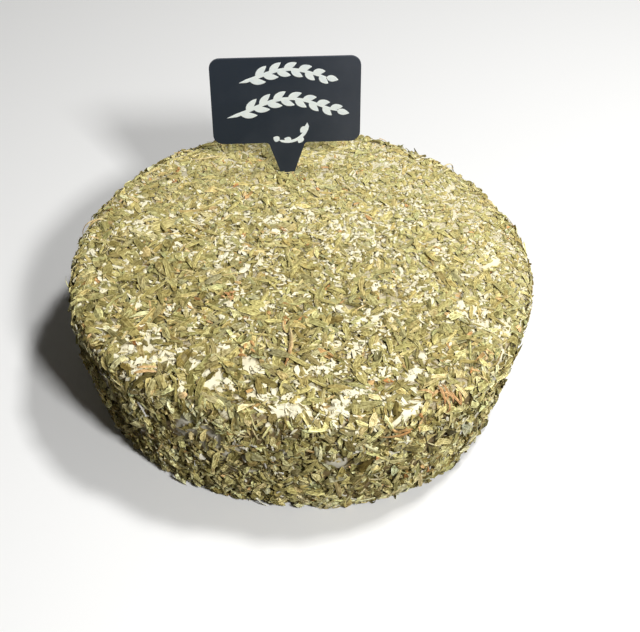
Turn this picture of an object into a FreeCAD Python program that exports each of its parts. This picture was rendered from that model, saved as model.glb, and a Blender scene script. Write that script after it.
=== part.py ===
"""A wheel of cashew cheese with a write-on marker stuck in its top. Millimetres, +Z up.

The wheel was pressed in a dish by hand, so it is a round cake with an uneven outline, a side that
leans in towards the base, a short rounded shoulder dented in places, a tight base edge and a top
that is never quite level. The marker is a thin plate with rounded corners and a tapered spike. Its
spike sits in a slit of its own shape, and it stands behind the middle of the wheel, a little turned
and leaning back.

The origin is where the middle of the wheel stands on the table. -Y is the front, which the marker
faces, and +X is to the right of someone who reads the marker.
"""

import FreeCAD, Part
import math
import os

# The wheel of cheese.
TOP_RADIUS = 88.2
BASE_RADIUS = 84.3
WHEEL_HEIGHT = 48.8
SHOULDER_RADIUS = 4.5
BASE_EDGE_RADIUS = 4.0
CROWN_RISE = 1.4
SIDE_BELLY = 1.1

# Unevenness of the outline: how many lobes run round the ring, how far each stands out, and the
# angle of the first one, in degrees from +X. The base has its own lobes, and the side blends them.
TOP_LOBES = ((1, 0.3, 50.0), (2, 1.7, 325.0), (3, 0.9, 320.0), (4, 0.7, 25.0), (5, 0.5, 358.0))
BASE_LOBES = ((1, 0.4, 200.0), (2, 0.9, 285.0), (3, 1.1, 49.0), (4, 0.9, 29.0), (5, 0.9, 18.0))

# Hand-pressed hollows: angle round the wheel, distance from its axis, reach and depth on the top;
# angle, height above the table, reach and depth in the side. The highest of these dent the shoulder.
TOP_HOLLOWS = ((250.0, 30.0, 24.0, 0.7), (20.0, 46.0, 20.0, 0.6), (150.0, 52.0, 18.0, 0.5))
SIDE_HOLLOWS = ((240.0, 19.0, 9.0, 1.3), (285.0, 15.0, 8.0, 0.8), (335.0, 27.0, 10.0, 0.9),
                (60.0, 22.0, 11.0, 1.0), (160.0, 25.0, 10.0, 0.8),
                (236.0, 45.5, 8.0, 1.8), (264.0, 46.0, 9.0, 2.0), (192.0, 45.0, 9.0, 1.2))

# How finely the surface is drawn.
POINTS_ROUND = 60
SHOULDER_RINGS = 5
SIDE_RINGS = 4
EDGE_RINGS = 3
TOP_RING_SHARES = (0.88, 0.74, 0.6, 0.45, 0.3, 0.15, 0.12, 0.09)
FLAT_RINGS = 3
DEGREE = 3

# The marker: a flat plate on a spike.
PLATE_WIDTH = 60.0
PLATE_HEIGHT = 38.0
PLATE_THICKNESS = 1.0
PLATE_CORNER_RADIUS = 4.2
SPIKE_WIDTH = 15.0
SPIKE_LENGTH = 23.0
SPIKE_TIP_RADIUS = 1.0
SPIKE_ROOT_RADIUS = 1.5
SPIKE_SHOWN = 14.0

# Where the marker stands on the wheel, and how it is turned.
MARKER_X = -6.1
MARKER_Y = 54.4
MARKER_LEAN_DEG = 4.9
MARKER_YAW_DEG = 2.7


def lobes_at(lobes, angle):
    """The outline's offset at an angle: one cosine wave for each entry."""
    return sum(size * math.cos(count * (angle - math.radians(first)))
               for count, size, first in lobes)


def outline_offset(angle, height):
    """The base's lobes turn into the top's lobes up the side."""
    share = height / WHEEL_HEIGHT
    return (1 - share) * lobes_at(BASE_LOBES, angle) + share * lobes_at(TOP_LOBES, angle)


def bump(distance, reach):
    """1 in the middle of a hollow, falling smoothly to nothing a little past its reach."""
    return math.exp(-(distance / reach) ** 2)


def side_hollows_at(angle, height, radius):
    """How far the hollows push the skin in at one place. Each fades with distance from its middle."""
    depth = 0.0
    for middle_deg, middle_height, reach, deep in SIDE_HOLLOWS:
        out = BASE_RADIUS + (TOP_RADIUS - BASE_RADIUS) * middle_height / WHEEL_HEIGHT
        turn = angle - math.radians(middle_deg)
        away = math.hypot(radius * math.cos(turn) - out, radius * math.sin(turn), height - middle_height)
        depth += deep * bump(away, reach)
    return depth


def top_relief_at(x, y):
    """How far the hollows push the top down at one place."""
    depth = 0.0
    for middle_deg, out, reach, deep in TOP_HOLLOWS:
        middle = math.radians(middle_deg)
        depth += deep * bump(math.hypot(x - out * math.cos(middle), y - out * math.sin(middle)), reach)
    return depth


def crown_at(radius):
    """The top's height over the shoulder: a shallow dome."""
    return CROWN_RISE * (1 - (radius / (TOP_RADIUS - SHOULDER_RADIUS)) ** 2)


def profile():
    """The wheel's section from the base edge to the top's innermost ring: radius and height."""
    rim = WHEEL_HEIGHT - CROWN_RISE
    points = []
    for step in range(EDGE_RINGS + 1):
        turn = math.radians(90.0 * step / EDGE_RINGS)
        points.append((BASE_RADIUS - BASE_EDGE_RADIUS * (1 - math.sin(turn)),
                       BASE_EDGE_RADIUS * (1 - math.cos(turn))))
    for step in range(1, SIDE_RINGS + 1):
        share = step / (SIDE_RINGS + 1)
        points.append((BASE_RADIUS + share * (TOP_RADIUS - BASE_RADIUS)
                       + SIDE_BELLY * math.sin(math.pi * share),
                       BASE_EDGE_RADIUS + share * (rim - SHOULDER_RADIUS - BASE_EDGE_RADIUS)))
    for step in range(SHOULDER_RINGS + 1):
        turn = math.radians(90.0 * step / SHOULDER_RINGS)
        points.append((TOP_RADIUS - SHOULDER_RADIUS * (1 - math.cos(turn)),
                       rim - SHOULDER_RADIUS * (1 - math.sin(turn))))
    for share in TOP_RING_SHARES:
        radius = share * (TOP_RADIUS - SHOULDER_RADIUS)
        points.append((radius, rim + crown_at(radius)))
    middle = points[-1][1]
    return points[:-FLAT_RINGS] + [(radius, middle) for radius, _ in points[-FLAT_RINGS:]]


def ring(radius, height, relief):
    """One closed ring of the skin's control net. Relief is how much of the top's hollows it takes.

    A smooth closed skin runs a little inside its net, by (2 + cos step) / 3 on a round ring, so the
    ring is drawn that much larger.
    """
    swell = 3 / (2 + math.cos(2 * math.pi / POINTS_ROUND))
    points = []
    for step in range(POINTS_ROUND):
        angle = 2 * math.pi * step / POINTS_ROUND
        out = radius * (1 + outline_offset(angle, height) / TOP_RADIUS)
        out -= side_hollows_at(angle, height, radius)
        x, y = out * math.cos(angle), out * math.sin(angle)
        drop = relief * top_relief_at(x, y)
        points.append(FreeCAD.Vector(x * swell, y * swell, height - drop))
    return points


def skin():
    """The wheel's surface over the net: closed round the wheel, and clamped to its first and last ring."""
    points = profile()
    flat_from = len(points) - FLAT_RINGS
    net = []
    for index, (radius, height) in enumerate(points):
        on_top = height > WHEEL_HEIGHT - CROWN_RISE and index < flat_from
        net.append(ring(radius, height, 1.0 if on_top else 0.0))
    spans = len(net) - DEGREE
    surface = Part.BSplineSurface()
    surface.buildFromPolesMultsKnots(
        net,
        [DEGREE + 1] + [1] * (spans - 1) + [DEGREE + 1],
        [1] * (POINTS_ROUND + 1),
        list(range(spans + 1)),
        list(range(POINTS_ROUND + 1)),
        False, True, DEGREE, DEGREE)
    return surface.toShape()


def wheel():
    """The cake: its skin, closed by the flat it stands on and a small flat disc in the middle of its top."""
    around = skin()
    rims = [edge for edge in around.Edges if edge.isClosed() and not edge.isSeam(around.Faces[0])]
    caps = [Part.Face(Part.Wire([rim])) for rim in rims]
    shell = Part.makeShell([around.Faces[0]] + caps)
    shell.sewShape()
    return Part.makeSolid(shell)


def marker_outline():
    """The marker's outline as one wire in the XZ plane, its plate over a spike that points down."""
    side = PLATE_WIDTH / 2
    root = SPIKE_WIDTH / 2
    corners = ((0.0, -SPIKE_LENGTH, SPIKE_TIP_RADIUS),
               (root, 0.0, SPIKE_ROOT_RADIUS),
               (side, 0.0, PLATE_CORNER_RADIUS),
               (side, PLATE_HEIGHT, PLATE_CORNER_RADIUS),
               (-side, PLATE_HEIGHT, PLATE_CORNER_RADIUS),
               (-side, 0.0, PLATE_CORNER_RADIUS),
               (-root, 0.0, SPIKE_ROOT_RADIUS))
    edges = []
    starts = []
    for index, (x, z, radius) in enumerate(corners):
        here = FreeCAD.Vector(x, 0, z)
        before = FreeCAD.Vector(corners[index - 1][0], 0, corners[index - 1][1]) - here
        after_corner = corners[(index + 1) % len(corners)]
        after = FreeCAD.Vector(after_corner[0], 0, after_corner[1]) - here
        half = before.getAngle(after) / 2
        before.normalize()
        after.normalize()
        reach = radius / math.tan(half)
        inward = (before + after).normalize()
        arc_middle = here + inward * (radius / math.sin(half) - radius)
        start = here + before * reach
        end = here + after * reach
        starts.append(start)
        edges.append((start, arc_middle, end))
    wire = []
    for index, (start, middle, end) in enumerate(edges):
        wire.append(Part.Arc(start, middle, end).toShape())
        wire.append(Part.LineSegment(end, starts[(index + 1) % len(starts)]).toShape())
    return Part.Wire(wire)


def marker():
    """The marker, cut from sheet, then stood on the wheel."""
    plate = Part.Face(marker_outline()).extrude(FreeCAD.Vector(0, PLATE_THICKNESS, 0))
    plate.translate(FreeCAD.Vector(0, -PLATE_THICKNESS / 2, SPIKE_SHOWN))
    plate.rotate(FreeCAD.Vector(0, 0, 0), FreeCAD.Vector(1, 0, 0), -MARKER_LEAN_DEG)
    plate.rotate(FreeCAD.Vector(0, 0, 0), FreeCAD.Vector(0, 0, 1), MARKER_YAW_DEG)
    surface = WHEEL_HEIGHT - CROWN_RISE + crown_at(math.hypot(MARKER_X, MARKER_Y))
    surface -= top_relief_at(MARKER_X, MARKER_Y)
    plate.translate(FreeCAD.Vector(MARKER_X, MARKER_Y, surface))
    return plate


os.makedirs("parts", exist_ok=True)
stuck_in = marker()
cheese = wheel().cut(stuck_in)
cheese.exportStep("parts/cheese_wheel.step")
stuck_in.exportStep("parts/label_marker.step")
print("wheel", cheese.isValid(), len(cheese.Solids), round(cheese.Volume), cheese.BoundBox)
print("marker", stuck_in.isValid(), len(stuck_in.Solids), round(stuck_in.Volume), stuck_in.BoundBox)
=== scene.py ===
import math

import bpy
import numpy as np
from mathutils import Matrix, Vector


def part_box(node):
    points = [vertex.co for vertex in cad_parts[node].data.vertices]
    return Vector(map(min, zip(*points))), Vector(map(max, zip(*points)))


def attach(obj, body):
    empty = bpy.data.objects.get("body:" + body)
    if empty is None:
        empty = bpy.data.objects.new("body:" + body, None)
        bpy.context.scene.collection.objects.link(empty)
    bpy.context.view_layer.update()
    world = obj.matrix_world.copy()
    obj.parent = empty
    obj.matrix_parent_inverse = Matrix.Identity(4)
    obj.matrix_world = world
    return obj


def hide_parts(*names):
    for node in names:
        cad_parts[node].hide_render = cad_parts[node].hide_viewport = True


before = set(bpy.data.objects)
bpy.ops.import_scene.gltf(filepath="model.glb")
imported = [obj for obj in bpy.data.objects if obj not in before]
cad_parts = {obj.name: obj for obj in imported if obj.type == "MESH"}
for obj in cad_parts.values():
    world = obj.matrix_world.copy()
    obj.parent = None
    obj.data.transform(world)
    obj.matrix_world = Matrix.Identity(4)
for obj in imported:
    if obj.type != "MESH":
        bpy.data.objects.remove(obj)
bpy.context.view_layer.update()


# --------------------------------------------------
# The paste. A cake of cultured cashew paste, pressed in a dish by hand and turned out: round but
# uneven, with a side that leans in towards the foot, a short rounded shoulder and a faintly domed
# top. It is cream-white, dense and a little moist, and shows wherever the herb coat leaves a gap.

MM = 0.001
wheel_low, wheel_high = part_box("cheese_wheel")
WHEEL_HEIGHT = wheel_high.z / MM
TOP_RADIUS = 88.2
BASE_RADIUS = 84.3
SHOULDER_RADIUS = 4.5
BASE_EDGE_RADIUS = 4.0
CROWN_RISE = 1.4
SIDE_BELLY = 1.1
RIM_HEIGHT = WHEEL_HEIGHT - CROWN_RISE
FLAT_RADIUS = TOP_RADIUS - SHOULDER_RADIUS

# Lobes of the outline: how many, how far they stand out, and the angle of the first, in degrees.
TOP_LOBES = ((1, 0.3, 50.0), (2, 1.7, 325.0), (3, 0.9, 320.0), (4, 0.7, 25.0), (5, 0.5, 358.0))
BASE_LOBES = ((1, 0.4, 200.0), (2, 0.9, 285.0), (3, 1.1, 49.0), (4, 0.9, 29.0), (5, 0.9, 18.0))

# Pressed hollows. On the top: angle, distance from the axis, reach, depth. In the side: angle,
# height, reach, depth.
TOP_HOLLOWS = ((250.0, 30.0, 24.0, 0.7), (20.0, 46.0, 20.0, 0.6), (150.0, 52.0, 18.0, 0.5))
SIDE_HOLLOWS = ((240.0, 19.0, 9.0, 1.3), (285.0, 15.0, 8.0, 0.8), (335.0, 27.0, 10.0, 0.9),
                (60.0, 22.0, 11.0, 1.0), (160.0, 25.0, 10.0, 0.8),
                (236.0, 45.5, 8.0, 1.8), (264.0, 46.0, 9.0, 2.0), (192.0, 45.0, 9.0, 1.2))


def wheel_section():
    """The section from the foot to the middle of the top, as radius, height, outward normal and
    distance walked: a tight arc, a leaning side with a belly, another arc and a shallow dome."""
    turn = np.linspace(0.0, np.pi / 2, 25)
    edge = (BASE_RADIUS - BASE_EDGE_RADIUS * (1 - np.sin(turn)), BASE_EDGE_RADIUS * (1 - np.cos(turn)))
    share = np.linspace(0.0, 1.0, 41)[1:-1]
    side = (BASE_RADIUS + share * (TOP_RADIUS - BASE_RADIUS) + SIDE_BELLY * np.sin(np.pi * share),
            BASE_EDGE_RADIUS + share * (RIM_HEIGHT - SHOULDER_RADIUS - BASE_EDGE_RADIUS))
    shoulder = (TOP_RADIUS - SHOULDER_RADIUS * (1 - np.cos(turn)),
                RIM_HEIGHT - SHOULDER_RADIUS * (1 - np.sin(turn)))
    inward = np.linspace(1.0, 0.0, 81)[1:]
    dome = (inward * FLAT_RADIUS, RIM_HEIGHT + CROWN_RISE * (1 - inward ** 2))
    radius, height = np.concatenate([edge, side, shoulder, dome], axis=1)
    walked = np.concatenate([[0.0], np.cumsum(np.hypot(np.diff(radius), np.diff(height)))])
    slope_out, slope_up = np.gradient(radius, walked), np.gradient(height, walked)
    return radius, height, slope_up, -slope_out, walked


SECTION_RADIUS, SECTION_HEIGHT, NORMAL_OUT, NORMAL_UP, SECTION_WALKED = wheel_section()
MAP_RADIUS = SECTION_WALKED[-1]


def lobes_at(lobes, angle):
    """The outline's offset: a sum of cosine waves round the wheel."""
    return sum(size * np.cos(count * (angle - math.radians(first))) for count, size, first in lobes)


def pressed_in(angle, height, radius):
    """How deep the side's hollows are: a sum of bell curves in the distance from their middles."""
    depth = 0.0
    for middle_deg, middle_height, reach, deep in SIDE_HOLLOWS:
        out = BASE_RADIUS + (TOP_RADIUS - BASE_RADIUS) * middle_height / WHEEL_HEIGHT
        turn = angle - math.radians(middle_deg)
        off_out, off_round = radius * np.cos(turn) - out, radius * np.sin(turn)
        away = off_out ** 2 + off_round ** 2 + (height - middle_height) ** 2
        depth = depth + deep * np.exp(-away / reach ** 2)
    return depth


def pressed_down(x, y):
    """How deep the top's hollows are: a sum of bell curves in distance across the top."""
    depth = 0.0
    for middle_deg, out, reach, deep in TOP_HOLLOWS:
        middle = math.radians(middle_deg)
        off_x, off_y = x - out * math.cos(middle), y - out * math.sin(middle)
        depth = depth + deep * np.exp(-(off_x ** 2 + off_y ** 2) / reach ** 2)
    return depth


def on_wheel(east, north, lift):
    """A place on the wheel, in millimetres, from a flat map of its skin. The map's middle is the
    middle of the top, directions on it are directions round the wheel, and distance from its middle
    is distance walked over the top, round the shoulder and down the side. Lift raises the place
    along the skin's normal."""
    angle = np.arctan2(north, east)
    walked = MAP_RADIUS - np.hypot(east, north)
    radius = np.interp(walked, SECTION_WALKED, SECTION_RADIUS)
    height = np.interp(walked, SECTION_WALKED, SECTION_HEIGHT)
    normal_out = np.interp(walked, SECTION_WALKED, NORMAL_OUT)
    normal_up = np.interp(walked, SECTION_WALKED, NORMAL_UP)
    share = height / WHEEL_HEIGHT
    lobes = (1 - share) * lobes_at(BASE_LOBES, angle) + share * lobes_at(TOP_LOBES, angle)
    out = radius * (1 + lobes / TOP_RADIUS) - pressed_in(angle, height, radius)
    x, y = out * np.cos(angle), out * np.sin(angle)
    height = height - pressed_down(x, y) * normal_up.clip(0, 1) ** 4
    out = lift * normal_out
    return np.stack([x + out * np.cos(angle), y + out * np.sin(angle), height + lift * normal_up], -1)


def lumps(points, size, seed):
    """Smooth noise from -1 to 1: random numbers on a cubic lattice of this size, eased between."""
    table = np.random.default_rng(seed).uniform(-1, 1, (32, 32, 32))
    place = np.asarray(points) / size + 512.0
    cell = np.floor(place).astype(int)
    part = place - cell
    part = part * part * (3 - 2 * part)
    total = 0.0
    for corner in np.ndindex(2, 2, 2):
        weight = np.prod(np.where(corner, part, 1 - part), axis=-1)
        total = total + weight * table[tuple(np.moveaxis((cell + corner) % 32, -1, 0))]
    return total


def map_lumps(east, north, size, seed):
    """The same noise at places on the map."""
    return lumps(np.stack([east, north, np.zeros_like(east)], -1), size, seed)


# Where the herb didn't stick. Angle round the wheel, millimetres from the middle of the top over the
# skin, reach round, reach outward, share of herb missing, and how far the paste stands up there, as
# it swelled between the flakes when the wheel was pressed.
BARE_PATCHES = (
    (269, 77.5, 8.8, 8, 1, 0.5), (259.5, 79.5, 6.4, 5, 0.98, 0.5), (253, 64.5, 3.4, 4.6, 0.9, 0.4),
    (246.5, 73, 6, 5.2, 0.85, 0.4), (237.5, 71.5, 5.2, 4.4, 0.85, 0.4), (219, 79.5, 4.4, 3.6, 0.95, 0.4),
    (222, 69.5, 5.2, 4.3, 0.9, 0.4), (231, 76, 4, 3.2, 0.85, 0.4), (230.5, 84, 4.4, 2.8, 0.8, 0.3),
    (211, 79.5, 4.6, 4, 0.85, 0.4), (254.5, 50, 3, 2, 0.85, 0.4), (277, 61.5, 2.8, 4.4, 0.9, 0.4),
    (266, 65.5, 3, 2, 0.85, 0.4), (237, 81.5, 3.2, 3, 0.85, 0.3), (251.5, 84.5, 4.8, 2.4, 0.8, 0.3),
    (298, 55.5, 2.8, 3, 0.9, 0.4), (294, 65.5, 3, 3, 0.9, 0.4), (302.5, 72, 3.4, 3, 0.9, 0.4),
    (287.5, 69.5, 2.6, 2.6, 0.9, 0.4), (281, 77, 4.8, 4.2, 0.98, 0.5), (280, 83, 2.6, 2.4, 0.9, 0.4),
    (294.5, 83.5, 6.4, 4.4, 0.95, 0.5), (309, 67, 2.2, 2, 0.85, 0.4), (329, 74.5, 3.4, 2.6, 0.9, 0.4),
    (332, 84, 4.4, 3, 0.9, 0.4), (338, 83.5, 6, 2.8, 0.9, 0.4), (359, 72.5, 5.2, 4.2, 0.85, 0.4),
    (250, 105, 7.4, 5.6, 0.95, 0.6), (256, 116, 5.2, 3.8, 0.95, 0.5), (242, 99, 4.4, 7, 0.8, 0.4),
    (267, 101, 3, 2.2, 0.9, 0.3), (279.5, 105.5, 5.6, 3.8, 0.9, 0.4), (217, 100, 8, 8, 0.6, 0.3),
    (325, 95, 6, 6, 0.8, 0.3), (60, 104, 6, 4, 0.8, 0.4), (130, 98, 8, 4, 0.7, 0.3),
    (236, 77, 42, 9, 0.2, 0), (284, 77, 36, 9, 0.15, 0), (345, 76, 30, 9, 0.06, 0),
)

# How steep a patch's edges are, the most herb that is missing in it, and how many of its reaches out
# the paste starts to stand up.
PATCH_STEEPNESS = 2.0
PATCH_BAREST = 0.92
PATCH_SWELL_REACH = 1.25


def bare_patches(east, north):
    """The share of herb missing at a place on the map, and how far the paste stands up there. Each
    patch is an oval with steep edges, and noise of two sizes added to the distance makes them ragged."""
    angle = np.degrees(np.arctan2(north, east))
    out = np.hypot(east, north)
    ragged = 0.9 * map_lumps(east, north, 4.2, 71) + 0.8 * map_lumps(east, north, 1.9, 72)
    kept, rise = np.ones_like(east), np.zeros_like(east)
    for middle, away, reach_round, reach_out, missing, stands in BARE_PATCHES:
        turn = np.radians(np.mod(angle - middle + 180, 360) - 180)
        far = np.hypot(turn * away / reach_round, (out - away) / reach_out)
        inside = (PATCH_STEEPNESS * (1 - (far + ragged))).clip(0, 1)
        kept = kept * (1 - PATCH_BAREST * missing * inside)
        rise = rise + stands * (PATCH_SWELL_REACH - far).clip(0, 1)
    return 1 - kept, rise


# The coat is coarsest towards the front left. The way there on the map, and its coarseness midway.
COARSE_EAST = -0.36
COARSE_NORTH = -0.75
COARSE_MIDWAY = 0.36


def down_side(east, north):
    """0 on the top and 1 on the side, turning over the shoulder, from 2 mm before it to 8 mm on."""
    return np.interp(np.hypot(east, north), (FLAT_RADIUS - 2, FLAT_RADIUS + 8), (0, 1))


def coarseness(east, north):
    """How loosely the coat lies, from 0 at the back right, where it was rubbed in fine, to 1 on the
    front left of the shoulder and all round the side."""
    forward = (COARSE_EAST * east + COARSE_NORTH * north) / TOP_RADIUS
    return np.maximum(down_side(east, north), COARSE_MIDWAY + (1 - COARSE_MIDWAY) * forward).clip(0, 1)


# The paste lies under the coat, so its face is this far inside the wheel's.
COAT_DEPTH = 1.0
PASTE_LUMPS = ((11.0, 0.30), (3.6, 0.22), (1.7, 0.16))
PASTE_ROUND = 480
PASTE_RINGS = 200
UNDERSIDE = 0.3
# Herb dust and painted shade of the gaps between flakes: its share where the coat is fine, rising to full
# where it is coarse.
DUST_AND_SHADE_WHERE_FINE = 0.45


def paste_rise(east, north):
    """How far the paste's face stands off its even depth: noise of three sizes, the finer the
    shallower, and its rise in the bare patches."""
    skin = on_wheel(east, north, 0.0)
    relief = sum(deep * lumps(skin, size, 40 + index) for index, (size, deep) in enumerate(PASTE_LUMPS))
    return relief + bare_patches(east, north)[1]


def new_mesh(name, points, faces, smooth):
    """A mesh from an array of points, in millimetres, and arrays of faces with as many corners each."""
    mesh = bpy.data.meshes.new(name)
    corners = np.concatenate([part.ravel() for part in faces])
    counts = np.concatenate([np.full(len(part), part.shape[1]) for part in faces])
    mesh.vertices.add(len(points))
    mesh.vertices.foreach_set("co", (points * MM).astype(np.float32).ravel())
    mesh.loops.add(len(corners))
    mesh.loops.foreach_set("vertex_index", corners.astype(np.int32))
    mesh.polygons.add(len(counts))
    mesh.polygons.foreach_set("loop_start", (np.cumsum(counts) - counts).astype(np.int32))
    mesh.polygons.foreach_set("use_smooth", np.full(len(counts), smooth))
    mesh.update(calc_edges=True)
    mesh.validate()
    return mesh


def placed(name, data):
    """A new object in the scene, for a mesh, a lamp or a camera."""
    thing = bpy.data.objects.new(name, data)
    bpy.context.scene.collection.objects.link(thing)
    return thing


def new_piece(name, mesh, material):
    """An object for the mesh, with its material, riding on the one body."""
    piece = placed(name, mesh)
    mesh.materials.append(material)
    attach(piece, "root")
    return piece


def paste_mesh():
    """Rings round the wheel from the middle of the top to the foot, closed by a point at the middle of
    the top and one under the wheel. Each point is on the skin, in by the coat's depth, plus its rise,
    and says how much herb dust and painted shade of the gaps between flakes it gets: none where bare,
    more where the coat is coarse. The rings lie a little closer together further out."""
    angle = np.linspace(0, 2 * np.pi, PASTE_ROUND, endpoint=False)
    out = np.linspace(0, 1, PASTE_RINGS + 1)[1:] ** 0.85 * MAP_RADIUS
    east, north = out[:, None] * np.cos(angle), out[:, None] * np.sin(angle)
    rings = on_wheel(east, north, paste_rise(east, north) - COAT_DEPTH)
    rings[..., 2] = np.maximum(rings[..., 2], UNDERSIDE)
    top = rings[0].mean(0)
    points = np.concatenate([rings.reshape(-1, 3), [top, (0.0, 0.0, UNDERSIDE)]])
    here = np.arange(PASTE_ROUND)
    after = (here + 1) % PASTE_ROUND
    ring = np.arange(PASTE_RINGS - 1)[:, None] * PASTE_ROUND
    quads = np.stack([ring + here, ring + PASTE_ROUND + here, ring + PASTE_ROUND + after, ring + after], -1)
    last = (PASTE_RINGS - 1) * PASTE_ROUND
    top_fan = np.stack([here, after, np.full(PASTE_ROUND, len(points) - 2)], -1)
    under_fan = np.stack([last + after, last + here, np.full(PASTE_ROUND, len(points) - 1)], -1)
    mesh = new_mesh("cashew_paste", points, [quads.reshape(-1, 4), top_fan, under_fan], smooth=True)
    dust_and_gap_shade = np.ones(len(points))
    # Painted shade: the gaps under the coat are darkened, more where the coat is coarse and not where it is
    # bare.
    thickly = DUST_AND_SHADE_WHERE_FINE + (1 - DUST_AND_SHADE_WHERE_FINE) * coarseness(east, north)
    dust_and_gap_shade[:-2] = (thickly * (1 - bare_patches(east, north)[0])).ravel()
    mesh.attributes.new("dust_and_gap_shade", "FLOAT", "POINT").data.foreach_set("value", dust_and_gap_shade)
    return mesh


class Wire:
    """One output in a material's nodes. Arithmetic on it adds Math nodes, and add() adds any other."""

    def __init__(self, tree, socket=None):
        self.tree = tree
        self.socket = socket

    def add(self, kind, settings=None, inputs=None, output=0):
        """Adds a node: its settings first, then a value or a link for each named or numbered input."""
        node = self.tree.nodes.new(kind)
        for name, value in (settings or {}).items():
            setattr(node, name, value)
        for name, value in (inputs or {}).items():
            if isinstance(value, Wire):
                self.tree.links.new(value.socket, node.inputs[name])
            else:
                node.inputs[name].default_value = value
        return Wire(self.tree, node.outputs[output] if node.outputs else None)

    def math(self, operation, *values):
        return self.add("ShaderNodeMath", {"operation": operation}, dict(enumerate(values)))

    def __add__(self, other):
        return self.math("ADD", self, other)

    def __radd__(self, other):
        return self.math("ADD", other, self)

    def __sub__(self, other):
        return self.math("SUBTRACT", self, other)

    def __rsub__(self, other):
        return self.math("SUBTRACT", other, self)

    def __mul__(self, other):
        return self.math("MULTIPLY", self, other)

    def __abs__(self):
        return self.math("ABSOLUTE", self)

    def clamped(self):
        return self.math("MAXIMUM", self.math("MINIMUM", self, 1.0), 0.0)

    def part(self, index):
        """One coordinate of this vector."""
        return self.add("ShaderNodeSeparateXYZ", inputs={"Vector": self}, output=index)

    def noise(self, scale, detail):
        """Noise at the place this vector says."""
        return self.add("ShaderNodeTexNoise", inputs={"Vector": self, "Scale": scale, "Detail": detail})

    def mixed(self, first, second):
        """A colour between two, with this wire as the share of the second."""
        return self.add("ShaderNodeMix", {"data_type": "RGBA"},
                        {"Factor": self, 6: first, 7: second}, output=2)


def new_material(name):
    """An empty node material and a Wire to add its nodes with."""
    material = bpy.data.materials.new(name)
    material.use_nodes = True
    material.node_tree.nodes.clear()
    return material, Wire(material.node_tree)


def close_material(start, shader):
    start.add("ShaderNodeOutputMaterial", inputs={"Surface": shader})


CREAM = (0.85, 0.80, 0.59, 1.0)
CREAM_DAMP = (0.80, 0.73, 0.50, 1.0)
CREAM_DOWN_SIDE = (0.77, 0.73, 0.60, 1.0)
# Herb dust, made dark enough to serve also as painted shade in the gaps between flakes.
HERB_DUST_AND_GAP_SHADE = (0.17, 0.105, 0.018, 1.0)


def paste_material():
    """Cream paste, yellower in damp blotches, greyer and a little darker down the side, flecked with
    herb dust, and darkened with herb dust and painted shade, the shade of the gaps between flakes,
    wherever the coat covers it. A piece without the attribute has no dust or painted shade on it."""
    material, start = new_material("cashew_paste")
    place = start.add("ShaderNodeTexCoord", output="Object")
    height = place.part(2)
    blotch = place.noise(140.0, 3.0)
    fleck = place.noise(1500.0, 2.0)
    grain = place.noise(900.0, 4.0)
    cream = ((blotch - 0.42) * 3.0).clamped().mixed(CREAM, CREAM_DAMP)
    # Greyer and a little darker below the shoulder, down the side.
    side_toned = ((0.043 - height) * 150.0).clamped().mixed(cream, CREAM_DOWN_SIDE)
    dust_and_gap_shade = start.add("ShaderNodeAttribute", {"attribute_name": "dust_and_gap_shade"}, output="Fac")
    # Painted shade: the paste is darkened with herb dust wherever the coat covers it.
    covered = (dust_and_gap_shade * 1.6 - 0.5 + (fleck - 0.5) * 1.2).clamped() * 0.9
    flecked = covered.mixed(side_toned, HERB_DUST_AND_GAP_SHADE)
    bump = start.add("ShaderNodeBump", inputs={"Strength": 0.25, "Distance": 0.0004, "Height": grain})
    shader = start.add("ShaderNodeBsdfPrincipled", inputs={
        "Base Color": flecked, "Roughness": 0.55, "Normal": bump, "Specular IOR Level": 0.3})
    close_material(start, shader)
    return material


paste_matter = paste_material()
paste = new_piece("cashew_paste", paste_mesh(), paste_matter)
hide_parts("cheese_wheel")


# --------------------------------------------------
# The herb coat. Dried tarragon, cut small, strewn over the fresh cake and patted down: flat cut
# blades, leaves, rolled slivers, chips and crumbs, pale stalks, a few browned bits, and crumbs of paste
# that came up between them. It is laid as it was made, each flake resting on the ones already there.

BED_CELL = 0.4
BED_HALF = int(MAP_RADIUS / BED_CELL) + 12
bed_place = np.arange(-BED_HALF, BED_HALF + 1) * BED_CELL
bed_east, bed_north = np.meshgrid(bed_place, bed_place, indexing="ij")
herb_bed = paste_rise(bed_east, bed_north)
bed_bare = bare_patches(bed_east, bed_north)[0]

# Each kind: how many; rings of points along a flake; length and width in mm, as median and spread;
# thickness in mm; how wide its two ends are, from and to, as shares of the width; fold, arch and
# twist; how much of it lands in the last strewings; and its colours with their shares.
OLIVE = (0.465, 0.405, 0.164)
FRESH = (0.54, 0.495, 0.202)
GREY_GREEN = (0.375, 0.35, 0.195)
DARK_GREEN = (0.23, 0.20, 0.08)
KHAKI = (0.605, 0.51, 0.255)
STRAW = (0.76, 0.66, 0.37)
CREAMY = (0.83, 0.77, 0.55)
TAN = (0.65, 0.43, 0.19)
RUST = (0.52, 0.25, 0.095)
LEAF_MIX = ((OLIVE, 0.42), (FRESH, 0.24), (GREY_GREEN, 0.12), (KHAKI, 0.15), (DARK_GREEN, 0.07))
FINE_MIX = ((OLIVE, 0.36), (FRESH, 0.16), (GREY_GREEN, 0.10), (KHAKI, 0.20), (DARK_GREEN, 0.12),
            (STRAW, 0.06))

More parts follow.
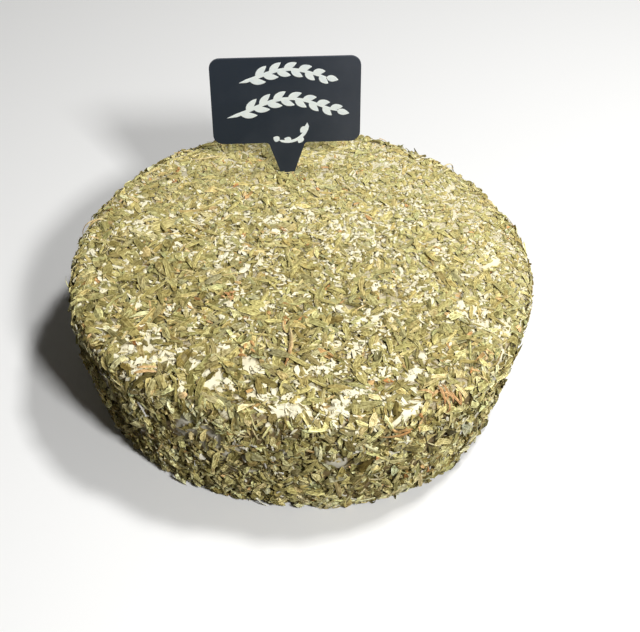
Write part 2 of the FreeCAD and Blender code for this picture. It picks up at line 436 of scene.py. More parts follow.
KINDS = (
    dict(name="tarragon_crumb", count=10000, rings=2, length=(0.95, 0.30), width=(0.62, 0.30),
         thick=0.16, ends=(0.5, 1.0), fold=0.3, arch=0.03, twist=0.4, late=0.30, mix=FINE_MIX),
    dict(name="tarragon_chip", count=9800, rings=3, length=(1.9, 0.32), width=(1.05, 0.32),
         thick=0.16, ends=(0.35, 1.0), fold=0.35, arch=0.06, twist=0.4, late=0.45, mix=FINE_MIX),
    dict(name="tarragon_sliver", count=5900, rings=4, length=(3.3, 0.34), width=(0.62, 0.30),
         thick=0.22, ends=(0.15, 0.8), fold=0.6, arch=0.06, twist=0.6, late=0.58, mix=FINE_MIX),
    dict(name="tarragon_blade", count=5200, rings=5, length=(4.6, 0.34), width=(1.45, 0.28),
         thick=0.18, ends=(0.40, 1.0), fold=0.50, arch=0.05, twist=0.42, late=0.60, mix=LEAF_MIX),
    dict(name="tarragon_leaf", count=4100, rings=5, length=(4.3, 0.36), width=(2.0, 0.28),
         thick=0.18, ends=(0.05, 0.75), fold=0.38, arch=0.08, twist=0.36, late=0.62, mix=LEAF_MIX),
    dict(name="tarragon_stalk", count=700, rings=5, length=(5.6, 0.36), width=(0.55, 0.22),
         thick=0.42, ends=(0.6, 0.9), fold=0.2, arch=0.04, twist=0.3, late=0.8,
         mix=((STRAW, 0.55), (KHAKI, 0.35), (TAN, 0.1))),
    dict(name="browned_leaf", count=600, rings=4, length=(2.4, 0.40), width=(1.1, 0.34),
         thick=0.18, ends=(0.2, 0.9), fold=0.45, arch=0.08, twist=0.6, late=0.7,
         mix=((TAN, 0.6), (RUST, 0.2), (KHAKI, 0.2))),
    dict(name="paste_crumb", count=5800, rings=3, length=(1.65, 0.42), width=(1.15, 0.34),
         thick=0.35, ends=(0.25, 0.9), fold=0.2, arch=0.02, twist=0.2, late=0.85,
         mix=((CREAMY, 1.0),)),
)
STREWINGS = 16

# A flake's rings have four points: left edge, upper middle, right edge, lower middle. How far across
# the flake each is, as a share of its half-width, and how far down, as a share of its thickness.
RING_ACROSS = np.array([-1.0, 0.0, 1.0, 0.0])
RING_DOWN = np.array([0.5, 0.0, 0.5, 1.0])

# Where crumbs of paste came up through the coat, as angle, distance from the middle, reach and how
# thickly they lie, over what lies everywhere on the top and on the side.
PASTE_SPECKS = (
    (157, 32, 17, 1), (148, 13, 12, 0.8), (29, 25, 17, 1.1), (40, 48, 20, 0.35), (315, 36, 18, 0.45),
    (340, 68, 16, 0.7), (92, 34, 14, 0.8), (228, 72, 18, 0.9), (285, 66, 24, 0.5), (168, 74, 18, 0.5),
    (5, 66, 20, 0.35), (240, 38, 14, 0.4),
)
SPECKS_ON_TOP = 0.18
SPECKS_ON_SIDE = 0.03


def speck_share(east, north):
    """How likely a crumb of paste is, from 0 to 1: bell curves round the chosen places, broken up by
    noise into small flocks."""
    angle, out = np.arctan2(north, east), np.hypot(east, north)
    share = np.where(out < FLAT_RADIUS, SPECKS_ON_TOP, SPECKS_ON_SIDE)
    for middle_deg, away, reach, thickly in PASTE_SPECKS:
        off_east = east - away * math.cos(math.radians(middle_deg))
        off_north = north - away * math.sin(math.radians(middle_deg))
        share = share + thickly * np.exp(-(off_east ** 2 + off_north ** 2) / reach ** 2)
    flocks = 0.35 + 1.7 * map_lumps(east, north, 6.0, 75) + 1.6 * map_lumps(east, north, 2.6, 76)
    flocks = flocks.clip(0, 1.6)
    return (share * flocks * (1 - 0.5 * bare_patches(east, north)[0])).clip(0, 1)


def herb_share(east, north):
    """How likely herb sticks, from 0 to 1: less in the bare patches, and in fine specks all over."""
    specks = map_lumps(east, north, 1.6, 73) + 0.6 * map_lumps(east, north, 3.3, 74)
    specks = (specks - 0.62).clip(0, 0.25) * 4
    return (1 - bare_patches(east, north)[0]) * (1 - 0.6 * specks)


STREW_TRIES = 16


def strew(rng, count, share):
    """Places on the map where flakes land: spread evenly over the skin, and kept by their share."""
    tried = count * STREW_TRIES
    out = rng.uniform(0, 1, tried)
    radius = np.interp(MAP_RADIUS * (1 - out), SECTION_WALKED, SECTION_RADIUS)
    out = out[rng.uniform(0, TOP_RADIUS * 1.02, tried) < radius] * MAP_RADIUS
    angle = rng.uniform(-np.pi, np.pi, len(out))
    east, north = out * np.cos(angle), out * np.sin(angle)
    kept = rng.uniform(0, 1, len(out)) < share(east, north)
    return east[kept][:count], north[kept][:count]


# How uneven a flake's outline is, how much its ends slant, and how much it is bent sideways, each as a
# spread; and how crinkled it is, in mm.
CUT_UNEVENNESS = 0.09
CUT_SLANT = 0.55
SICKLE_BEND = 0.03
CRINKLE = 0.05


def flake_shapes(kind, rng, count, coarse):
    """Flakes lying flat at the middle of their own length, as distance along, across and up. The
    half-width falls off towards each end as a power of the distance, and the cut ends slant. The middle
    is folded up or down, and the whole is bent sideways like a sickle, arched, twisted and crinkled."""
    def spread(name):
        median, spread_by = kind[name]
        return median * np.exp(spread_by * rng.standard_normal(count))[:, None, None]

    share = np.linspace(-1, 1, kind["rings"])[None, :, None]
    length = spread("length") * coarse[:, None, None]
    width = np.minimum(spread("width") * coarse[:, None, None] ** 0.8, length * 0.75)
    low, high = kind["ends"]
    ends = rng.uniform(low, high, (count, 2, 1))
    end = np.where(share < 0, ends[:, :1], ends[:, 1:])
    power = rng.uniform(1.8, 6.0, (count, 1, 1))
    half = 0.5 * width * (1 - (1 - end) * np.abs(share) ** power)
    half = half * (1 + CUT_UNEVENNESS * rng.standard_normal((count, kind["rings"], 4)))
    slant = rng.normal(0, CUT_SLANT, (count, 2, 1))
    slant = np.where(share < 0, slant[:, :1], slant[:, 1:]) * np.abs(share) ** 3
    sickle = rng.normal(0, SICKLE_BEND, (count, 1, 1)) * length * (share ** 2 - 0.4)
    across = RING_ACROSS * half + sickle
    along = 0.5 * length * share + slant * RING_ACROSS * half
    fold = rng.normal(0, kind["fold"], (count, 1, 1)) * half * (1 - np.abs(RING_ACROSS))
    arch = rng.normal(0, kind["arch"], (count, 1, 1)) * length * (0.5 - share ** 2)
    twist = rng.normal(0, kind["twist"], (count, 1, 1)) * RING_ACROSS * half * share
    crinkle = CRINKLE * rng.standard_normal((count, kind["rings"], 1))
    up = fold + arch + twist + crinkle - kind["thick"] * RING_DOWN
    return along, across, up


def turned_on_map(east, north, heading):
    """A function that takes distances ahead and aside of a flake to the map. A heading of nothing
    points outward. The map is drawn out round the wheel below the shoulder, which is made good here."""
    angle, out = np.arctan2(north, east), np.hypot(east, north)
    stretch = np.maximum(out / np.interp(MAP_RADIUS - out, SECTION_WALKED, SECTION_RADIUS), 1.0)

    def on_map(ahead, aside):
        outward = ahead * np.cos(heading) - aside * np.sin(heading)
        round_it = (ahead * np.sin(heading) + aside * np.cos(heading)) * stretch
        return (east + outward * np.cos(angle) - round_it * np.sin(angle),
                north + outward * np.sin(angle) + round_it * np.cos(angle))
    return on_map


def bed_cells(east, north):
    """The cells of the bed that places on the map fall in."""
    cells = np.rint(np.stack([east, north]) / BED_CELL + BED_HALF).astype(int)
    return tuple(cells.clip(0, 2 * BED_HALF))


# How a flake comes to rest: the most it leans with the bed, ahead and aside; how deep it is pressed
# into the bed; how far it may sag between what it rests on; and the most the bed itself builds up.
# Flakes that would stand high are pressed lower: heights over the paste, before and after.
LEAN_AHEAD = 0.3
LEAN_ASIDE = 0.35
PRESSED = 0.12
SAG = 0.3
BED_TOP = 2.0
HEIGHTS_FOUND = (-2.0, 1.2, 2.5, 5.0)
HEIGHTS_KEPT = (-2.0, 1.2, 2.1, 3.2)


def lay(kind, rng, east, north):
    """Lays one strewing of flakes on the bed: each rests on what is under it, partly stiff and partly
    giving way to it, and the bed then rises where it lies. Flakes lie steeper where the coat is coarse,
    and a few stand proud. One that would cover mostly bare paste falls off. Returns the points on the
    wheel, how coarse the coat is round each flake, and how far each is down the side."""
    rough = coarseness(east, north)
    side = down_side(east, north)
    size = 0.78 + 0.62 * rough - 0.50 * side + 0.16 * map_lumps(east, north, 30.0, 81)
    along, across, up = flake_shapes(kind, rng, len(east), size)
    up = up * (0.75 + 0.25 * rough + 0.6 * side)[:, None, None]
    reach = np.abs(along).max((1, 2))[:, None, None]
    wide = np.abs(across).max((1, 2))[:, None, None]
    ahead = np.linspace(-0.95, 0.95, 11)[None, :, None] * reach
    aside = np.linspace(-0.8, 0.8, 5)[None, None, :] * wide
    ahead, aside = np.broadcast_arrays(ahead, aside)
    heading = rng.uniform(0, 2 * np.pi, (len(east), 1, 1))
    on_map = turned_on_map(east[:, None, None], north[:, None, None], heading)
    trodden = bed_cells(*on_map(ahead, aside))

    stays = rng.uniform(0.25, 1.3, len(east)) > bed_bare[trodden].mean((1, 2))
    if kind["name"] == "paste_crumb":
        stays[:] = True
    east, north, rough, side = east[stays], north[stays], rough[stays], side[stays]
    heading, reach, along, across, up, ahead, aside = (
        part[stays] for part in (heading, reach, along, across, up, ahead, aside))
    trodden = tuple(part[stays] for part in trodden)
    on_map = turned_on_map(east[:, None, None], north[:, None, None], heading)
    count = len(east)

    # Its plane is the bed's under it, as far as it leans, and it rests on the higher parts.
    rough = rough[:, None, None]
    under = herb_bed[trodden]
    pitch = (ahead * under).sum((1, 2)) / (ahead ** 2).sum((1, 2))
    roll = (aside * under).sum((1, 2)) / (aside ** 2).sum((1, 2))
    tilt = rng.standard_normal((3, count, 1, 1))
    pitch = pitch.clip(-LEAN_AHEAD, LEAN_AHEAD)[:, None, None] + tilt[0] * (0.02 + 0.24 * rough ** 1.5)
    roll = roll.clip(-LEAN_ASIDE, LEAN_ASIDE)[:, None, None] + tilt[1] * (0.05 + 0.60 * rough ** 1.5)
    proud = rng.uniform(0, 1, (count, 1, 1)) < 0.01 + 0.16 * rough
    pitch = np.where(proud, tilt[2] * 0.5, pitch)
    rest = np.quantile(under - pitch * ahead - roll * aside, 0.7, axis=(1, 2))[:, None, None]
    rest = rest + 0.35 * reach * np.abs(pitch) * proud
    plane = rest + pitch * along + roll * across
    below = herb_bed[bed_cells(*on_map(along, across))]
    stiff = 0.6 + 0.25 * rough
    # The flake between its own plane and the bed, its lowest point resting there.
    lift = stiff * plane + (1 - stiff) * np.minimum(below, plane + SAG) + up
    lift = lift - up.min((1, 2))[:, None, None] - PRESSED
    lift = np.interp(lift, HEIGHTS_FOUND, HEIGHTS_KEPT)
    top = 0.6 * (rest + pitch * ahead + roll * aside) + 0.4 * under + kind["thick"] * 0.8
    np.maximum.at(herb_bed, trodden, np.minimum(top, BED_TOP))
    return on_wheel(*on_map(along, across), lift - COAT_DEPTH), rough[:, 0], side[:, None]


def flake_faces(rings):
    """One flake's triangles: four strips from ring to ring and a face at each end, each cut in two, the
    upper and the lower side along the same lines. For each corner also its place in the flake's own
    square of the colour map, the upper side left and the lower side right."""
    fours, squares = [], []
    for ring in range(rings - 1):
        for side in range(4):
            after = (side + 1) % 4
            here, there = 4 * ring, 4 * (ring + 1)
            low, high = 0.25 * side, 0.25 * (side + 1)
            start, stop = ring / (rings - 1), (ring + 1) / (rings - 1)
            four = [here + side, there + side, there + after, here + after]
            square = [(low, start), (low, stop), (high, stop), (high, start)]
            turn = 0 if side < 2 else 3
            fours.append(four[turn:] + four[:turn])
            squares.append(square[turn:] + square[:turn])
    last = 4 * (rings - 1)
    fours += [[1, 2, 3, 0], [last + 3, last + 2, last + 1, last]]
    squares += [[(0.25, 0.0), (0.5, 0.0), (0.75, 0.0), (0.0, 0.0)],
                [(0.75, 1.0), (0.5, 1.0), (0.25, 1.0), (0.0, 1.0)]]
    halves = [[0, 1, 2], [0, 2, 3]]
    return np.array(fours)[:, halves].reshape(-1, 3), np.array(squares)[:, halves].reshape(-1, 3, 2)


# Brightness of the herb by coarseness, the painted light that the side adds to it, and the share of the
# strewings until which flakes are darkened as painted shade. A darker flake gets browner and a paler one
# yellower: these are the powers of the brightness that red, green and blue take.
TONE_COARSENESS = (0.15, 0.5, 1.0)
TONE = (1.19, 0.93, 0.80)
SIDE_PAINTED_LIGHT = 0.46
PAINTED_SHADE_UNTIL = 0.6
TONE_LIMIT = 1.8
DARKENING = np.array([0.93, 1.0, 1.28])
PALING = np.array([0.93, 1.0, 1.35])


def flake_colours(kind, rng, rough, side, progress):
    """A colour for each flake, drawn from the kind's mix and varied in brightness and warmth, more
    widely where the coat is coarse and down the side, where the wider spread partly stands in for
    flakes lit or shaded by the lamps. The herb is paler where the coat is fine, at the back right, and
    darker where it is coarse; the side is made paler as painted light. What is strewn first, which
    ends up under the rest, is darkened and browned as painted shade, most where the coat is coarse."""
    count = len(rough)
    shades = np.array([colour for colour, _ in kind["mix"]])
    chances = np.array([share for _, share in kind["mix"]])
    colour = shades[rng.choice(len(shades), count, p=chances / chances.sum())]
    other = shades[rng.choice(len(shades), count, p=chances / chances.sum())]
    colour = colour + (other - colour) * rng.uniform(0, 0.5, (count, 1))
    if kind["name"] == "paste_crumb":
        return colour
    colour = colour + (shades[:2].mean(0) - colour) * 0.45 * (1 - rough)
    warmth = rng.normal(-0.004, 0.045, (count, 1)) * np.array([1.0, 0.0, -1.0])
    # Painted light: the side is made paler.
    tone_with_painted_light_and_shade = np.interp(rough, TONE_COARSENESS, TONE) + SIDE_PAINTED_LIGHT * side
    # Painted shade: the early strewings, which end up under later flakes, are darkened, most where the coat
    # is coarse.
    tone_with_painted_light_and_shade = tone_with_painted_light_and_shade - (0.05 + 0.60 * rough) * (1 - min(progress / PAINTED_SHADE_UNTIL, 1.0))
    # The spread is wider down the side, partly as painted light and shade on flakes facing towards or away
    # from the lamps.
    varied = np.exp((0.07 + 0.31 * rough + 0.22 * side) * rng.standard_normal((count, 1)))
    tone = np.minimum(tone_with_painted_light_and_shade * varied, TONE_LIMIT)
    return (colour * tone ** np.where(tone < 1, DARKENING, PALING) * (1 + warmth)).clip(0.005, 0.85)


VEIN_DARK = (0.46, 0.41, 0.30)
VEIN_LIGHT = 1.5
LEAF_UNDERSIDE = (0.48, 0.44, 0.27, 1.0)


def leaf_material():
    """Dried leaf: each flake's own colour, darker between fine veins that run along it, blotched, most
    so towards the front, paler on its midrib, with a painted highlight along its cut edges, greyer
    underneath, crinkled and matt."""
    material, start = new_material("dried_tarragon")
    leaf = start.add("ShaderNodeAttribute", {"attribute_name": "leaf"}, output="Color")
    lower = Wire(start.tree, leaf.socket.node.outputs["Alpha"])
    blade = start.add("ShaderNodeAttribute", {"attribute_name": "blade"}, output="Vector")
    across = abs(blade.part(0))
    stretched = start.add("ShaderNodeVectorMath", {"operation": "MULTIPLY"},
                          {0: blade, 1: (2.0, 0.6, 1.0)})
    veins = stretched.noise(1.6, 3.0)
    place = start.add("ShaderNodeTexCoord", output="Object")
    blotch = place.noise(900.0, 2.0)
    northward = place.part(1)
    blotched = 0.7 + ((0.02 - northward) * 12.0).clamped() * 0.6
    # Painted highlight: the cut edges are made lighter.
    edge = ((across - 0.76) * 4.2).clamped()
    midrib = (1.0 - across * 6.0).clamped()
    shade = (veins - 0.5) * 2.0 + (blotch - 0.5) * blotched + edge * 0.7 + midrib * 0.3
    dark = start.add("ShaderNodeVectorMath", {"operation": "MULTIPLY"}, {0: leaf, 1: VEIN_DARK})
    light = start.add("ShaderNodeVectorMath", {"operation": "SCALE"}, {0: leaf, "Scale": VEIN_LIGHT})
    veined = (shade + 0.36).clamped().mixed(dark, light)
    greyed = (lower * 0.3).mixed(veined, LEAF_UNDERSIDE)
    bump = start.add("ShaderNodeBump", inputs={"Strength": 0.5, "Distance": 0.0002, "Height": veins})
    shader = start.add("ShaderNodeBsdfPrincipled", inputs={
        "Base Color": greyed, "Roughness": 0.65, "Normal": bump, "Specular IOR Level": 0.10})
    close_material(start, shader)
    return material


VEINS_APART = 3.7
UV_MARGIN = 0.08


def flake_piece(name, points, colours, lengths, material):
    """Many flakes as one mesh, with colours along each flake and a mark on its lower side; how far
    across and along it each point is, and a number that sets its veins apart from others'; and a colour
    map that gives every flake a square of its own."""
    count, rings = points.shape[:2]
    faces, squares = flake_faces(rings)
    strips = (np.arange(count)[:, None, None] * 4 * rings + faces).reshape(-1, 3)
    mesh = new_mesh(name, points.reshape(-1, 3), [strips], smooth=False)
    leaf = np.zeros((count, rings, 4, 4))
    leaf[..., :3] = colours[:, :, None, :]
    leaf[..., 3, 3] = 1.0
    mesh.attributes.new("leaf", "FLOAT_COLOR", "POINT").data.foreach_set("color", leaf.ravel())
    blade = np.zeros((count, rings, 4, 3))
    blade[..., 0] = RING_ACROSS
    blade[..., 1] = np.linspace(0, 1, rings)[None, :, None] * lengths[:, None, None]
    blade[..., 2] = np.arange(count)[:, None, None] * VEINS_APART
    mesh.attributes.new("blade", "FLOAT_VECTOR", "POINT").data.foreach_set("vector", blade.ravel())
    per_side = math.ceil(math.sqrt(count))
    corner = np.stack([np.arange(count) % per_side, np.arange(count) // per_side], -1)[:, None, None, :]
    colour_map = (corner + UV_MARGIN + (1 - 2 * UV_MARGIN) * squares) / per_side
    mesh.uv_layers.new(name="OFBake").uv.foreach_set("vector", colour_map.astype(np.float32).ravel())
    return new_piece(name, mesh, material)


TABLE_GAP = 0.15


def off_the_table(points):
    """What would lie below the foot is pressed flat just over the table instead, and pushed outward."""
    low = np.maximum(2 * TABLE_GAP - points[..., 2], 0.0)
    raised = low - TABLE_GAP * low / (TABLE_GAP + low)
    outward = points[..., :2] / np.linalg.norm(points[..., :2], axis=-1, keepdims=True)
    return np.concatenate([points[..., :2] + 0.6 * raised[..., None] * outward,
                           (points[..., 2] + raised)[..., None]], -1)


leaf_matter = leaf_material()
coat_rng = np.random.default_rng(2026)
laid = {kind["name"]: [] for kind in KINDS}
laid_colours = {kind["name"]: [] for kind in KINDS}
for strewing in range(STREWINGS):
    progress = strewing / (STREWINGS - 1)
    for kind in KINDS:
        weight = 2 * ((1 - kind["late"]) * (1 - progress) + kind["late"] * progress)
        share = speck_share if kind["name"] == "paste_crumb" else herb_share
        places = strew(coat_rng, round(kind["count"] * weight / STREWINGS), share)
        points, rough, side = lay(kind, coat_rng, *places)
        laid[kind["name"]].append(points)
        laid_colours[kind["name"]].append(flake_colours(kind, coat_rng, rough, side, progress))
for kind in KINDS:
    points = off_the_table(np.concatenate(laid[kind["name"]]))
    colours = np.repeat(np.concatenate(laid_colours[kind["name"]])[:, None], kind["rings"], axis=1)
    matter = paste_matter if kind["name"] == "paste_crumb" else leaf_matter
    flake_piece(kind["name"], points, colours, np.full(len(points), kind["length"][0]), matter)


# --------------------------------------------------
# The bits that stand out. Long stems, curled brown strands, yellow petals, straws and single large
# leaves lie on top of the coat. Each is a strip bent as it dried.

BROWN = (0.42, 0.21, 0.08)
PINK_TAN = (0.76, 0.53, 0.28)
YELLOW = (0.80, 0.67, 0.26)
LIGHT_LEAF = (0.63, 0.57, 0.23)

# How many, the angle round the wheel and distance from the middle of their place and how widely they
# scatter round it; heading, in degrees from outward, and how widely it varies; length and width in
# mm; turn from end to end, twist and rise in the middle; and the colours of the two ends.
STANDOUTS = (
    (1, 266, 50.5, 0, 3, 0, 21, 1.25, -35, 60, 0.8, STRAW, BROWN),
    (1, 262, 42, 0, 15, 0, 6, 0.8, 40, 40, 0.5, STRAW, TAN),
    (9, 305.5, 87, 2.8, 10, 35, 6, 0.75, 80, 120, 1.4, PINK_TAN, RUST),
    (4, 303, 84, 3, 60, 50, 4, 0.9, 60, 90, 1, TAN, PINK_TAN),
    (3, 292.5, 91, 1.8, 95, 25, 6.5, 0.9, 150, 60, 1, TAN, BROWN),
    (2, 271, 117.6, 1, 60, 40, 2.6, 2.3, 0, 10, 0.2, YELLOW, YELLOW),
    (1, 241.2, 86.1, 0, 120, 0, 3.6, 2.1, 0, 10, 0.2, KHAKI, PINK_TAN),
    (4, 314.5, 65.1, 0.9, 0, 180, 2.6, 0.9, 0, 10, 0.4, YELLOW, YELLOW),
    (3, 229.5, 82.9, 2, 128, 12, 5.5, 1.1, 15, 20, 0.4, TAN, PINK_TAN),
    (5, 249.5, 57, 3, 90, 90, 3, 1, 70, 90, 0.5, RUST, TAN),
    (8, 222.5, 35.7, 2.2, 0, 180, 2, 0.9, 80, 90, 0.5, RUST, PINK_TAN),
    (1, 250.8, 35.7, 0, 40, 0, 2, 1.3, 20, 20, 0.3, RUST, TAN),
    (1, 80.8, 59.1, 0, -80, 0, 3.6, 1.3, 10, 20, 0.3, PINK_TAN, RUST),
    (1, 67.5, 47.7, 0, -116, 0, 12.5, 0.75, 8, 30, 0.5, STRAW, STRAW),
    (1, 292, 127.5, 0, 100, 0, 7.8, 0.8, 12, 20, 0.9, STRAW, STRAW),
    (3, 282, 131, 2.2, 15, 40, 5.5, 1.7, 30, 30, 0.6, LIGHT_LEAF, TAN),
    (3, 241.2, 36.4, 2.6, 60, 60, 6.5, 3.2, 20, 25, 0.5, LIGHT_LEAF, FRESH),
    (2, 203.8, 36, 1.5, 20, 20, 5, 2.2, 10, 20, 0.4, GREY_GREEN, GREY_GREEN),
    (2, 262, 57.5, 2, 80, 15, 6.5, 1.8, 10, 20, 0.4, GREY_GREEN, DARK_GREEN),
    (2, 43, 86, 3, 0, 20, 7, 0.8, 10, 30, 1.2, STRAW, STRAW),
    (2, 166, 84, 4, 10, 40, 6.5, 0.8, 20, 30, 1.4, STRAW, TAN),
    (50, 0, 0, 60, 0, 180, 6, 1.5, 50, 50, 0.5, LIGHT_LEAF, OLIVE),
    (18, 270, 104, 30, 0, 180, 4.4, 1.3, 70, 70, 0.8, LIGHT_LEAF, OLIVE),
)
STANDOUT_RINGS = 11


def standout_points(rng):
    """Strips of rings of four points. The middle line's heading turns evenly from end to end, and its
    height is the bed's at its middle plus a bell-shaped rise. The half-width is a blunt lens, and the
    strip turns over along its length by the twist. Returns the points, lengths and colours."""
    table = [row[1:11] + (row[11] + row[12],) for row in STANDOUTS for _ in range(row[0])]
    count = len(table)
    angle, out, scatter, heading, fan, length, width, turn, twist, rise = (
        np.array([row[index] for row in table])[:, None, None] for index in range(10))
    ends = np.array([row[10] for row in table]).reshape(count, 2, 3)
    wander = rng.normal(0, 0.6, (2, count, 1, 1)) * scatter
    east = out * np.cos(np.radians(angle)) + wander[0]
    north = out * np.sin(np.radians(angle)) + wander[1]
    heading = np.radians(heading + fan * rng.uniform(-1, 1, (count, 1, 1)))
    varied = np.where(scatter > 0, np.exp(0.22 * rng.standard_normal((count, 1, 1))), 1.0)
    length, width = length * varied, width * varied ** 0.5
    turn = np.radians(turn * np.where(scatter > 0, rng.uniform(-1, 1, (count, 1, 1)), 1.0))

    share = np.linspace(0, 1, STANDOUT_RINGS)[None, :, None]
    way = turn * (share - 0.5)
    step = length / (STANDOUT_RINGS - 1)
    ahead = np.cumsum(np.cos(way), axis=1) * step
    aside = np.cumsum(np.sin(way), axis=1) * step
    ahead, aside = ahead - ahead.mean(1, keepdims=True), aside - aside.mean(1, keepdims=True)
    half = 0.5 * width * (1 - np.abs(2 * share - 1) ** 3.5 * 0.8)
    turned = np.radians(twist) * (share - 0.5) * rng.choice((-1.0, 1.0), (count, 1, 1))
    across = RING_ACROSS * half * np.cos(turned)
    on_map = turned_on_map(east, north, heading)
    laid_on = herb_bed[bed_cells(*on_map(ahead, aside))].max(1, keepdims=True)
    up = laid_on + 0.1 + rise * (4 * share * (1 - share)) + RING_ACROSS * half * np.sin(turned)
    up = up + 0.3 * half * (1 - np.abs(RING_ACROSS)) - (0.16 + 0.15 * half) * RING_DOWN
    place = on_map(ahead - across * np.sin(way), aside + across * np.cos(way))
    colours = ends[:, :1] + (ends[:, 1:] - ends[:, :1]) * share
    return off_the_table(on_wheel(*place, up - COAT_DEPTH)), length[:, 0, 0], colours


stand_points, stand_lengths, stand_colours = standout_points(np.random.default_rng(77))
flake_piece("stems_and_petals", stand_points, stand_colours, stand_lengths, leaf_matter)


# --------------------------------------------------
# The marker. A write-on plate cut from thin matt black plastic sheet, with a tapered spike pushed into
# the paste. It carries fine scuffs from wiping, and sprigs of herb drawn on it with a white paint pen.

MARKER_BLACK = (0.014, 0.022, 0.036, 1.0)
MARKER_SCUFFS_AND_SHEEN = (0.055, 0.064, 0.084, 1.0)


def marker_material():
    """Matt black, greyed by scuffs, and paler towards the right end as a painted sheen."""
    material, start = new_material("matt_black_plastic")
    place = start.add("ShaderNodeTexCoord", output="Object")
    wiped = place.noise(45.0, 4.0)
    grain = place.noise(2600.0, 2.0)
    across = place.part(0)
    # Painted sheen: the plate is made paler towards its right end, over the scuffs.
    scuffs_and_sheen = (wiped - 0.5) * 1.2 + (across + 0.030) * 13.0
    tone = scuffs_and_sheen.clamped().mixed(MARKER_BLACK, MARKER_SCUFFS_AND_SHEEN)
    bump = start.add("ShaderNodeBump", inputs={"Strength": 0.15, "Distance": 0.0001, "Height": grain})
    shader = start.add("ShaderNodeBsdfPrincipled", inputs={
        "Base Color": tone, "Roughness": 0.42 + wiped * 0.18, "Normal": bump,
        "Specular IOR Level": 0.3})
    close_material(start, shader)
    return material


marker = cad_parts["label_marker"]
marker.data.materials.clear()
marker.data.materials.append(marker_material())


def marker_front():
    """The plate's front, from its mesh: the middle of its upper edge, the way along it, the way up it
    and the way out of it. The thinnest way through the points is the way out."""
    points = np.empty(len(marker.data.vertices) * 3)
    marker.data.vertices.foreach_get("co", points)
    points = points.reshape(-1, 3) / MM
    _, _, ways = np.linalg.svd(points - points.mean(0), full_matrices=False)
    outward = ways[2] * -np.sign(ways[2][1])
    up = np.array([0.0, 0.0, 1.0]) - outward[2] * outward
    up = up / np.linalg.norm(up)
    along = np.cross(up, outward)
    reach = points @ along
    middle = along * (reach.min() + reach.max()) / 2
    middle = middle + up * (points @ up).max() + outward * (points @ outward).max()
    return middle, along, up, outward


# The drawing, in millimetres right of the middle and down from the upper edge. Each sprig: where it
# starts, its heading in degrees from rightward, length, turn along it, wave, leaves, and leaf length.
SPRIGS = (
    ((-18.5, 10.5), 16.0, 37.0, -30.0, 12.0, 12, 6.6),
    ((-24.0, 26.0), 16.0, 48.0, -30.0, 16.0, 15, 7.0),
    ((8.4, 29.0), -92.0, 17.0, -120.0, 0.0, 4, 3.6),
)
STROKE_TIP = 0.03
STEM_HALF_WIDTH = 0.8
LEAF_HALF_WIDTH = 1.35
LEAF_SPREAD = 40.0
LEAF_CURL = 24.0
STROKE_RINGS = 13
PAINT_THICKNESS = 0.05
PAINT_WHITE = (0.92, 0.99, 1.0, 1.0)
PAINT_THIN = (0.82, 0.91, 0.97, 1.0)


def stroke(start, heading, length, turn, wave):
    """A pen stroke's middle line and headings: its heading turns evenly and sways once."""
    share = np.linspace(0, 1, STROKE_RINGS)
    way = np.radians(heading + turn * share + wave * np.sin(2 * np.pi * share))
    steps = length / (STROKE_RINGS - 1)
    right = start[0] + steps * np.concatenate([[0], np.cumsum(np.cos(way[:-1]))])
    down = start[1] - steps * np.concatenate([[0], np.cumsum(np.sin(way[:-1]))])
    return right, down, way


def sprig_strokes():
    """Every stroke of the drawing, as middle line, heading and half-width: for each sprig its stem, and
    leaves that leave it left and right by turns, shorter towards the tip, and one at the tip."""
    share = np.linspace(0, 1, STROKE_RINGS)
    stem_half = STROKE_TIP + STEM_HALF_WIDTH * (1 - 0.35 * share) * (1 - np.abs(2 * share - 1) ** 16)
    leaf_half = STROKE_TIP + LEAF_HALF_WIDTH * np.abs(np.sin(np.pi * share ** 0.8)) ** 0.8
    drawn = []
    for start, heading, length, turn, wave, leaves, leaf_length in SPRIGS:
        right, down, way = stroke(start, heading, length, turn, wave)
        drawn.append((right, down, way, stem_half))
        for index in range(leaves):
            at = (0.12 + 0.86 * index / (leaves - 1)) * (STROKE_RINGS - 1)
            rings = np.arange(STROKE_RINGS)
            from_stem = (np.interp(at, rings, right), np.interp(at, rings, down))
            stem_way = math.degrees(np.interp(at, rings, way))
            side = 0 if index == leaves - 1 else (1 if index % 2 else -1)
            reach = leaf_length * (1 - 0.3 * index / leaves)
            leaf = stroke(from_stem, stem_way + side * LEAF_SPREAD, reach, -side * LEAF_CURL, 0.0)
            drawn.append((*leaf, leaf_half))
    return (np.stack(part) for part in zip(*drawn))


def drawing_mesh():
    """Raised strokes on the plate's front: rings of four points across each stroke, its two edges, its
    crest above the plate and a point just inside the plate."""
    right, down, way, half = sprig_strokes()
    off = half[..., None] * RING_ACROSS
    right = right[..., None] - off * np.sin(way)[..., None]
    down = down[..., None] - off * np.cos(way)[..., None]
    out = np.broadcast_to(np.array([0.02, PAINT_THICKNESS, 0.02, -PAINT_THICKNESS]), right.shape)
    middle, along, up, outward = marker_front()
    points = middle + right[..., None] * along - down[..., None] * up + out[..., None] * outward
    faces, _ = flake_faces(STROKE_RINGS)
    strips = (np.arange(len(right))[:, None, None] * 4 * STROKE_RINGS + faces).reshape(-1, 3)
    return new_mesh("herb_drawing", points.reshape(-1, 3), [strips], smooth=False)


def paint_material():
    """White paint-pen paint, a little uneven in cover."""
    material, start = new_material("white_paint_pen")
    place = start.add("ShaderNodeTexCoord", output="Object")
    cover = place.noise(500.0, 3.0)
    white = ((cover - 0.5) * 4.0).clamped().mixed(PAINT_WHITE, PAINT_THIN)
    close_material(start, start.add("ShaderNodeBsdfPrincipled", inputs={
        "Base Color": white, "Roughness": 0.5}))
    return material


new_piece("herb_drawing", drawing_mesh(), paint_material())


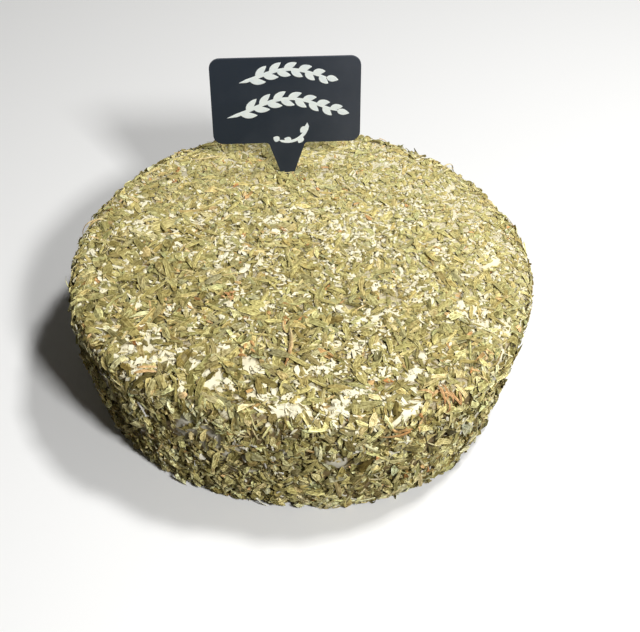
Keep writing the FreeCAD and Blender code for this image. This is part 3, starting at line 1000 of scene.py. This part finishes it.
# --------------------------------------------------
# The studio: a pale table in a pale room, two soft lamps above and to the right, and the camera. The
# table and the room look pale, and the table keeps the cheese's shadow, but both throw little light
# back on its side.

TABLE_PALE = (0.86, 0.86, 0.85, 1.0)
TABLE_DULL = (0.040, 0.032, 0.020, 1.0)
ROOM_PALE = (0.80, 0.80, 0.79, 1.0)
ROOM_DIM = (0.025, 0.023, 0.0195, 1.0)
TABLE_HALF = 6.0
TABLE_SHOWN = 0.35


def seen_directly(start):
    """1 for what the camera sees, straight or in a gloss or through glass, and 0 for scattered light."""
    path = start.add("ShaderNodeLightPath").socket.node
    seen = [Wire(start.tree, path.outputs[name])
            for name in ("Is Camera Ray", "Is Glossy Ray", "Is Transmission Ray")]
    return (seen[0] + seen[1] + seen[2]).clamped()


def table_material():
    """Pale and matt, and lost in the pale room further off."""
    material, start = new_material("pale_table")
    seen = seen_directly(start)
    place = start.add("ShaderNodeTexCoord", output="Object")
    away = start.add("ShaderNodeVectorMath", {"operation": "LENGTH"}, {0: place}, output=1)
    table = start.add("ShaderNodeBsdfPrincipled", inputs={
        "Base Color": seen.mixed(TABLE_DULL, TABLE_PALE), "Roughness": 0.7})
    room = start.add("ShaderNodeEmission", inputs={"Color": ROOM_PALE})
    far = ((away - TABLE_SHOWN) * 2.0).clamped() * seen
    close_material(start, start.add("ShaderNodeMixShader", inputs={0: far, 1: table, 2: room}))
    return material


floor_mesh = bpy.data.meshes.new("table")
floor_mesh.from_pydata([(-TABLE_HALF, -TABLE_HALF, 0), (TABLE_HALF, -TABLE_HALF, 0),
                        (TABLE_HALF, TABLE_HALF, 0), (-TABLE_HALF, TABLE_HALF, 0)], [], [(0, 1, 2, 3)])
floor = placed("table", floor_mesh)
floor_mesh.materials.append(table_material())

world = bpy.data.worlds.new("studio")
bpy.context.scene.world = world
world.use_nodes = True
world.node_tree.nodes.clear()
room = Wire(world.node_tree)
glow = room.add("ShaderNodeBackground", inputs={"Color": seen_directly(room).mixed(ROOM_DIM, ROOM_PALE)})
room.add("ShaderNodeOutputWorld", inputs={"Surface": glow})


def softbox(name, place, aim, size, watts):
    """A square lamp at a place, turned to face its aim."""
    lamp = bpy.data.lights.new(name, "AREA")
    lamp.size = size
    lamp.energy = watts
    holder = placed(name, lamp)
    away = np.array(place) - np.array(aim)
    flat = math.hypot(away[0], away[1])
    holder.location = place
    holder.rotation_euler = (math.atan2(flat, away[2]), 0, math.atan2(away[0], -away[1]))


WHEEL_TOP = (0.0, 0.0, WHEEL_HEIGHT * MM)
LAMP_SIZE = 0.14
softbox("front_right", (0.38, -0.55, 0.65), WHEEL_TOP, LAMP_SIZE, 7.1)
softbox("above_right", (0.36, 0.13, 0.865), WHEEL_TOP, LAMP_SIZE, 5.6)

camera_data = bpy.data.cameras.new("camera")
camera_data.lens = 67.5
camera_data.sensor_width = 36.0
camera = placed("camera", camera_data)
camera.location = (0.00742, -0.35208, 0.34926)
camera.rotation_euler = (math.radians(46.59), 0.0, 0.0)
bpy.context.scene.camera = camera
bpy.context.scene.view_settings.view_transform = "Standard"
